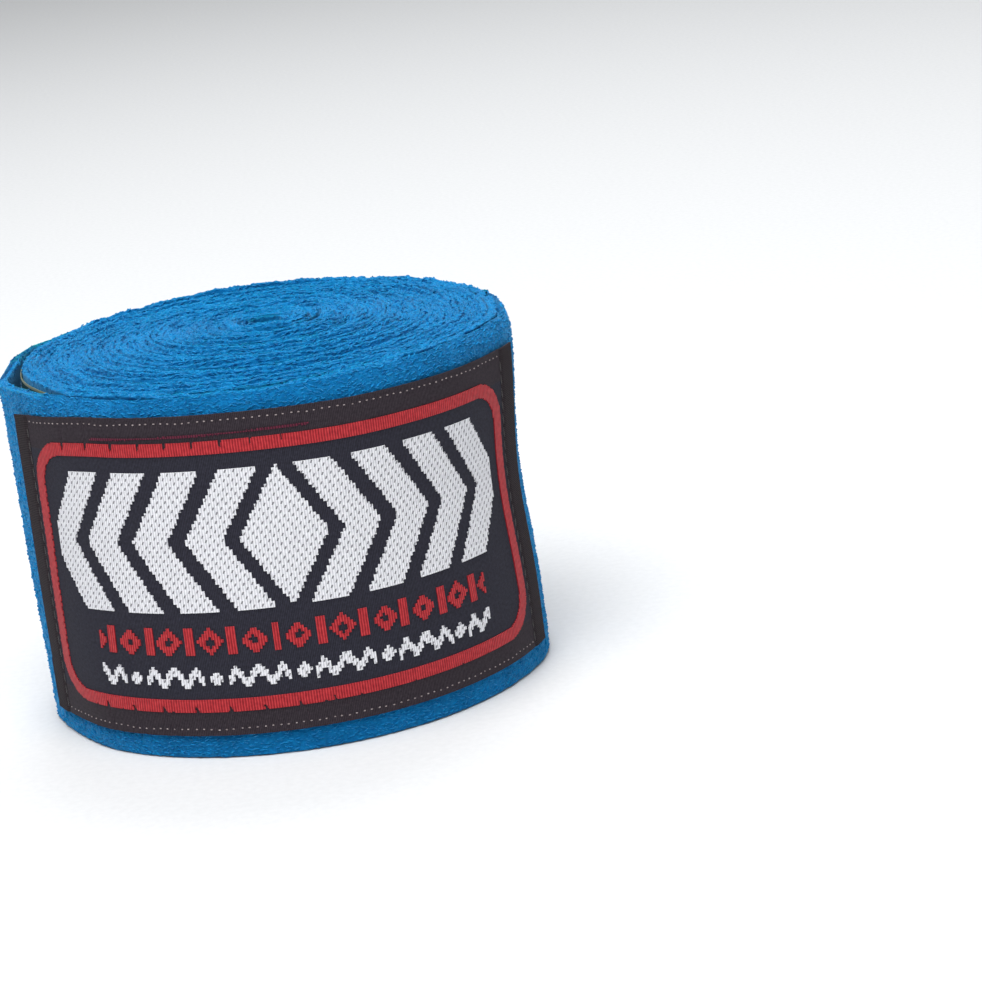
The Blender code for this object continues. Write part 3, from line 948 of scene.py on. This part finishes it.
def rounded_box(u, v, left, right, low, high, corner):
    """Below 0 inside a rectangle with rounded corners."""
    dx = np.abs(u - (left + right) / 2) - ((right - left) / 2 - corner)
    dy = np.abs(v - (low + high) / 2) - ((high - low) / 2 - corner)
    outside = np.hypot(np.maximum(dx, 0), np.maximum(dy, 0))
    return outside + np.minimum(np.maximum(dx, dy), 0) - corner


def teeth(place):
    """The uneven ends of satin ribs."""
    rib = np.floor(place / 0.38)
    return 0.09 * (np.mod(rib * 0.618, 1) - 0.5)


def in_border(u, v):
    """A frame with round corners, cut open at the creases so that the black ground shows there as
    painted crease shade.
    """
    left, right = BORDER_SIDE_INSET, LABEL_LENGTH - BORDER_SIDE_INSET
    across, up = u + teeth(v), v + teeth(u)
    outer = rounded_box(across, up, left, right, BORDER_LOW, BORDER_HIGH, BORDER_CORNER)
    inner = rounded_box(across, up, left + BORDER_SIDE, right - BORDER_SIDE,
                        BORDER_LOW + BORDER_BOTTOM, BORDER_HIGH - BORDER_TOP, BORDER_CORNER - 1.6)
    # The border is left out at the creases, so the black ground there is painted crease shade.
    return (outer < 0) & (inner > 0) & (nick_depth(u, v, 0.40) < 0.5)


def in_fold_highlight(u, v):
    """A fine dull red line beside the border's upper edge, a painted highlight along a crease of
    the cloth.
    """
    place = v - BORDER_HIGH - 0.62 - 0.012 * (u - 20)
    return (np.abs(place) < 0.12 + 0.5 * teeth(1.7 * u)) & (np.abs(u - 34) < 16)


SMALL_ROW_REACH = 29.6
BOLD_ROW_REACH = LABEL_LENGTH / 2 - BORDER_SIDE_INSET - BORDER_SIDE - 2.2


def row(figures, middle, half, reach):
    """A test for figures in a row about the label's middle, of these half sizes."""
    def inside(u, v):
        along, up = u - LABEL_LENGTH / 2, v - middle
        return figures(along, up, half) & (np.abs(up) < half) & (np.abs(along) < reach)
    return inside


def chevrons(along, up, half):
    """Chevrons that point outwards from a lozenge in the middle."""
    place = np.abs(along) + 0.62 * np.abs(up) - 0.62 * half
    after = place - 2.3
    return (place < 0) | (after > 0) & (np.mod(after, 7.9) < 5.2) & (after < 28.9)


def lozenges(along, up, half):
    """Small lozenges with short bars between them."""
    place = np.abs(np.mod(along + 3.0, 6.0) - 3.0)
    reach = place + np.abs(up)
    return (reach < half) & (reach >= half - 1.15) | (np.abs(place - 3.0) < 0.62)


def zigzags(along, up, half):
    """Runs of a small zigzag, with a lozenge between each run and the next."""
    place = np.mod(along + 5.9, 11.8) - 5.9
    level = np.abs(np.mod(place, 2.8) - 1.4) / 1.4 * 2 * half * 0.72 - half * 0.72
    lozenge = np.abs(place) + np.abs(up) < 1.15
    return (np.abs(up - level) < 0.74) & (np.abs(place) > 1.6) | lozenge


def add_label():
    red = satin_material("red_satin", (0.19, 0.007, 0.012), (0.37, 0.017, 0.025),
                         (0.56, 0.044, 0.050))
    # A painted highlight: the dull red line where a crease in the cloth catches the light.
    fold_highlight_red = satin_material("fold_highlight_satin", (0.030, 0.004, 0.010), (0.075, 0.008, 0.024),
                          (0.150, 0.018, 0.044))
    white = satin_material("white_satin", (0.50, 0.50, 0.54), (0.72, 0.72, 0.76),
                           (0.85, 0.85, 0.88), 0.75)
    cloth = add_label_cloth(label_material(), hem_material())
    figures = [
        add_weave("label_border", in_border, red, FINE_CELL),
        add_weave("label_fold_highlight_line", in_fold_highlight, fold_highlight_red, FINE_CELL),
        add_weave("label_chevrons", row(chevrons, 26.9, 9.7, BOLD_ROW_REACH), white),
        add_weave("label_lozenges", row(lozenges, 13.1, 1.9, SMALL_ROW_REACH), red),
        add_weave("label_zigzags", row(zigzags, 8.05, 1.45, SMALL_ROW_REACH), white),
    ]
    belongs(cloth, "closure_flap", "label", "woven_label")
    for piece in figures:
        belongs(piece, "closure_flap", "label")


# --- Stitches ---

# Half length, half width and height.
LIGHT_STITCH = (0.17, 0.10, 0.09)
HEM_STITCH = (0.82, 0.13, 0.10)
TAPE_STITCH = (0.80, 0.13, 0.10)
TACK_STITCH = (0.60, 0.12, 0.09)
TIP_STITCH = (0.95, 0.16, 0.12)


def directions(angle):
    """Along the band, up and outwards, at an angle about the axis."""
    turn = math.radians(angle)
    out = np.array((math.cos(turn), math.sin(turn), 0))
    return np.array((-out[1], out[0], 0)), np.array((0, 0, 1.0)), out


def add_stitches(name, places, ways, size, material, body, slot, node):
    """Short raised stitches: a half ellipsoid at each place, from its (along, across, out)."""
    long_half, wide_half, tall = size
    along, across, out = np.array(ways).transpose(1, 0, 2)
    shape = [(share * math.cos(t), share * math.sin(t), height)
             for height, share in ((0.0, 1.0), (0.55, 0.80))
             for t in np.linspace(0, 2 * math.pi, 7)[:-1]]
    shape += [(0, 0, 1.0), (0, 0, -0.6)]
    points = np.stack([places + along * long_half * x + across * wide_half * y + out * tall * z
                       for x, y, z in shape], axis=1)
    k = np.arange(6)
    n = (k + 1) % 6
    sides = np.column_stack((k, n, 6 + n, 6 + k))
    caps = np.vstack((np.column_stack((6 + k, 6 + n, 0 * k + 12)),
                      np.column_stack((n, k, 0 * k + 13))))
    starts = np.arange(len(places))[:, None, None] * len(shape)
    faces = [face for part in (sides, caps)
             for face in (starts + part).reshape(-1, part.shape[1]).tolist()]
    piece = new_piece(name + "_stitches", points.reshape(-1, 3), faces, material)
    belongs(piece, body, slot, node)


def add_label_seams(light, dark):
    for name, v in (("label_bottom_seam", 0.9), ("label_top_seam", LABEL_HEIGHT - 0.9)):
        u = np.arange(HEM_STRIP + 0.8, LABEL_LENGTH - HEM_STRIP - 0.5, 1.05)
        u = u + 0.12 * noise(0.9, 61, u)
        places = label_place(u, v + 0.10 * noise(2.0, 62, u), LABEL_HALF + 0.01)
        ways = [directions(angle) for angle in np.interp(u, LABEL_RUN, LABEL_ANGLES)]
        add_stitches(name, places, ways, LIGHT_STITCH, light, "closure_flap",
                     "light_thread", name)
    for name, u in (("label_left_seam", HEM_STRIP), ("label_right_seam", LABEL_LENGTH - HEM_STRIP)):
        v = np.arange(1.6, LABEL_HEIGHT - 1.4, 1.9)
        places = label_place(np.full(len(v), u), v, LABEL_HALF + 0.02)
        along, up, out = directions(np.interp(u, LABEL_RUN, LABEL_ANGLES))
        add_stitches(name, places, [(up, along, out)] * len(v), HEM_STITCH, dark,
                     "closure_flap", "dark_thread", name)


# --- The closure's tapes ---

LOOP_TAPE = SimpleNamespace(start=158, end=347, height=48.8, rise=0.69, half=0.29)
HOOK_TAPE = SimpleNamespace(start=202, end=345, height=46.8, rise=1.78, half=0.16)
for tape in (LOOP_TAPE, HOOK_TAPE):
    tape.foot = (BAND_WIDTH - tape.height) / 2
    tape.top = BAND_WIDTH - tape.foot
HOOK_PITCH = 1.35
HOOK_BEND = ((0.0, 0.0), (0.02, 0.26), (0.10, 0.40), (0.24, 0.42), (0.30, 0.30))
SELVEDGE = (1.9, 2.5)
SEAM_INSET = 1.4
SEAM_PITCH = 2.2


def tape_path(tape, step, rise):
    return Path(arc_points(tape.start, tape.end, lambda a: under_radius(a) + rise), step)


def add_loop_tape(material, edge_material):
    """The soft tape: a tufted face, and a plain selvedge along each long edge."""
    path = tape_path(LOOP_TAPE, 0.5, LOOP_TAPE.rise)
    profile = ply_profile(LOOP_TAPE.foot, LOOP_TAPE.top, LOOP_TAPE.half, 90, 6, 3)

    def shape(at):
        pile_share = smooth(np.minimum(at.up - LOOP_TAPE.foot, LOOP_TAPE.top - at.up), *SELVEDGE)
        tufts = noise(0.8, 71, at.length, at.up) + 0.6 * noise(2.4, 72, at.length, at.up)
        return (at.out > 0) * (pile_share * 0.09 * tufts - (1 - pile_share) * 0.18), 0

    piece = add_ply("loop_pile_tape", path, profile, material, shape, place=settle)
    belongs(piece, "roll", "loop_tape", "loop_tape")
    rim = ply_profile(LOOP_TAPE.top - 0.22, LOOP_TAPE.top + 0.20, 0.07, 2, 2, 3)
    belongs(add_ply("loop_tape_edge", path, rim, edge_material, place=settle), "roll", "loop_tape")


def add_hook_tape(material):
    """The stiff tape: a flat ground with rows of small bent hooks on its inner face."""
    path = tape_path(HOOK_TAPE, 0.8, HOOK_TAPE.rise)
    profile = ply_profile(HOOK_TAPE.foot, HOOK_TAPE.top, HOOK_TAPE.half, 24, 24, 2)
    piece = add_ply("hook_ground", path, profile, material, place=push_out)
    belongs(piece, "closure_flap", "hook_tape", "hook_tape")

    levels = np.arange(HOOK_TAPE.foot + 2.4, HOOK_TAPE.top - 2.3, HOOK_PITCH)
    runs = np.arange(2.2, path.length[-1] - 2.0, HOOK_PITCH * 0.8)
    odd = np.arange(len(levels)) % 2
    spots, normals = path.at((runs + 0.4 * HOOK_PITCH * odd[:, None]).ravel())
    level, way = (np.repeat(values, len(runs)) for values in (levels, 2 * odd - 1))
    rings = []
    for up, inwards in HOOK_BEND:
        for side, thick in ((-0.07, -0.07), (0.07, -0.07), (0.07, 0.07), (-0.07, 0.07)):
            depth = HOOK_TAPE.half + inwards + thick * (0.6 if up > 0.05 else 0.0)
            sideways = np.column_stack((-normals[:, 1], normals[:, 0])) * side
            height = level + way * up + thick * (0.4 if up > 0.05 else 1.0)
            rings.append(np.column_stack((spots - normals * depth + sideways, height)))
    points = push_out(np.stack(rings, axis=1).reshape(-1, 3))
    a = np.arange(16)
    b = a - a % 4 + (a + 1) % 4
    hook = np.vstack((np.column_stack((a, b, b + 4, a + 4)), (3, 2, 1, 0), (16, 17, 18, 19)))
    faces = (np.arange(len(spots))[:, None, None] * len(rings) + hook).reshape(-1, 4).tolist()
    belongs(new_piece("hooks", points, faces, material, 50), "closure_flap", "hook_tape")


def add_frame_seam(name, tape, rise, material, body, slot, facing, place):
    """Stitches all the way round a tape, a little inside its edge."""
    low, high = tape.foot + SEAM_INSET, tape.top - SEAM_INSET
    path = tape_path(tape, 0.5, rise)
    runs = np.arange(SEAM_INSET + SEAM_PITCH / 2, path.length[-1] - SEAM_INSET, SEAM_PITCH)
    spots = [(run, z, False) for run in runs for z in (low, high)]
    ends = (SEAM_INSET, path.length[-1] - SEAM_INSET)
    spots += [(run, z, True) for z in np.arange(low + SEAM_PITCH / 2, high, SEAM_PITCH)
              for run in ends]
    places, ways = [], []
    for run, z, upright in spots:
        (x, y), (nx, ny) = path.at(run)
        places.append((x, y, z))
        along, up = np.array((-ny, nx, 0)), np.array((0, 0, 1.0))
        out = facing * np.array((nx, ny, 0))
        ways.append((up, along, out) if upright else (along, up, out))
    add_stitches(name, place(np.array(places)), ways, TAPE_STITCH, material, body, slot, name)


# --- The thumb loop ---

THUMB_PLY = 0.42
THUMB_BAND_ROOM = 0.50


def add_thumb_loop(material, thread):
    """A tape in a flat closed loop between the first turns, and the tack that sews it down."""
    spacing = TURN_PITCH + LOOP_STACK
    ply, band = THUMB_PLY, THUMB_BAND_ROOM
    room = (spacing - band - 2 * ply) / 3
    inner_rise = (band + ply) / 2 + room
    outer_rise = spacing - inner_rise
    start, end = LOOP_ANGLES
    inner = arc_points(start, end, lambda a: roll_radius(a) + inner_rise, 3)
    outer = arc_points(start, end, lambda a: roll_radius(a) + outer_rise, 3)[::-1]
    far = fold_points(end, roll_radius(end) + inner_rise, roll_radius(end) + outer_rise)
    near = fold_points(start, roll_radius(start) + outer_rise, roll_radius(start) + inner_rise, -1)
    path = Path(np.vstack((inner, far, outer, near[:-1])), 0.3)
    low = (BAND_WIDTH - THUMB_TAPE_WIDTH) / 2 + DOME_RISE
    profile = ply_profile(low, low + THUMB_TAPE_WIDTH, ply / 2, 12, 12, 2)
    piece = add_ply("thumb_tape", path, profile, material, closed=True)
    belongs(piece, "roll", "thumb_tape", "thumb_loop")

    angles = np.arange(start + 12, start + 90, 7)
    places, ways = [], []
    for index, z in enumerate(np.arange(low + 3, low + THUMB_TAPE_WIDTH - 2, 1.6)):
        for angle in (angles[0], angles[index % len(angles)], angles[-1]):
            places.append((*plan(angle, roll_radius(angle) + band / 2 + room / 2), z))
            along, up, out = directions(angle)
            ways.append((up, along, out))
    add_stitches("thumb_loop_tack", np.array(places), ways, TACK_STITCH, thread, "roll",
                 "blue_thread", "thumb_loop_bar_tack")


def add_tip_seam(material):
    """Stitches across the hem at the band's free end."""
    angle = HEM_END_ANGLE + 3
    x, y = plan(angle, under_radius(angle) + FLAP_RISE + PLY_HALF)
    places = push_out(np.array([(x, y, z) for z in np.arange(3.2, BAND_WIDTH - 3.4, 2.3)]))
    along, up, out = directions(angle)
    add_stitches("tip_hem", places, [(up, along, out)] * len(places), TIP_STITCH, material,
                 "pull_tip", "blue_thread", "tip_hem_seam")


# --- Everything ---

add_camera()
add_studio()
terry = terry_material()
blue_thread = thread_material("blue_thread", (0.010, 0.090, 0.260), (0.040, 0.230, 0.520))
light_thread = thread_material("light_thread", (0.16, 0.12, 0.12), (0.42, 0.36, 0.36))
dark_thread = thread_material("dark_thread", (0.006, 0.005, 0.006), (0.026, 0.020, 0.022))
selvedge = thread_material("tape_selvedge", (0.04, 0.06, 0.03), (0.17, 0.21, 0.10))
thumb = thread_material("thumb_tape", (0.008, 0.100, 0.300), (0.030, 0.200, 0.480))
add_wound_band(terry)
add_outer_ply(terry)
add_label()
add_label_seams(light_thread, dark_thread)
add_loop_tape(pile_material(), selvedge)
add_hook_tape(hook_material())
add_frame_seam("loop_tape_seam", LOOP_TAPE, 0.86, blue_thread, "roll", "blue_thread", 1, settle)
add_frame_seam("hook_tape_seam", HOOK_TAPE, 1.62, dark_thread, "closure_flap", "dark_thread", -1,
               push_out)
add_thumb_loop(thumb, blue_thread)
add_tip_seam(blue_thread)
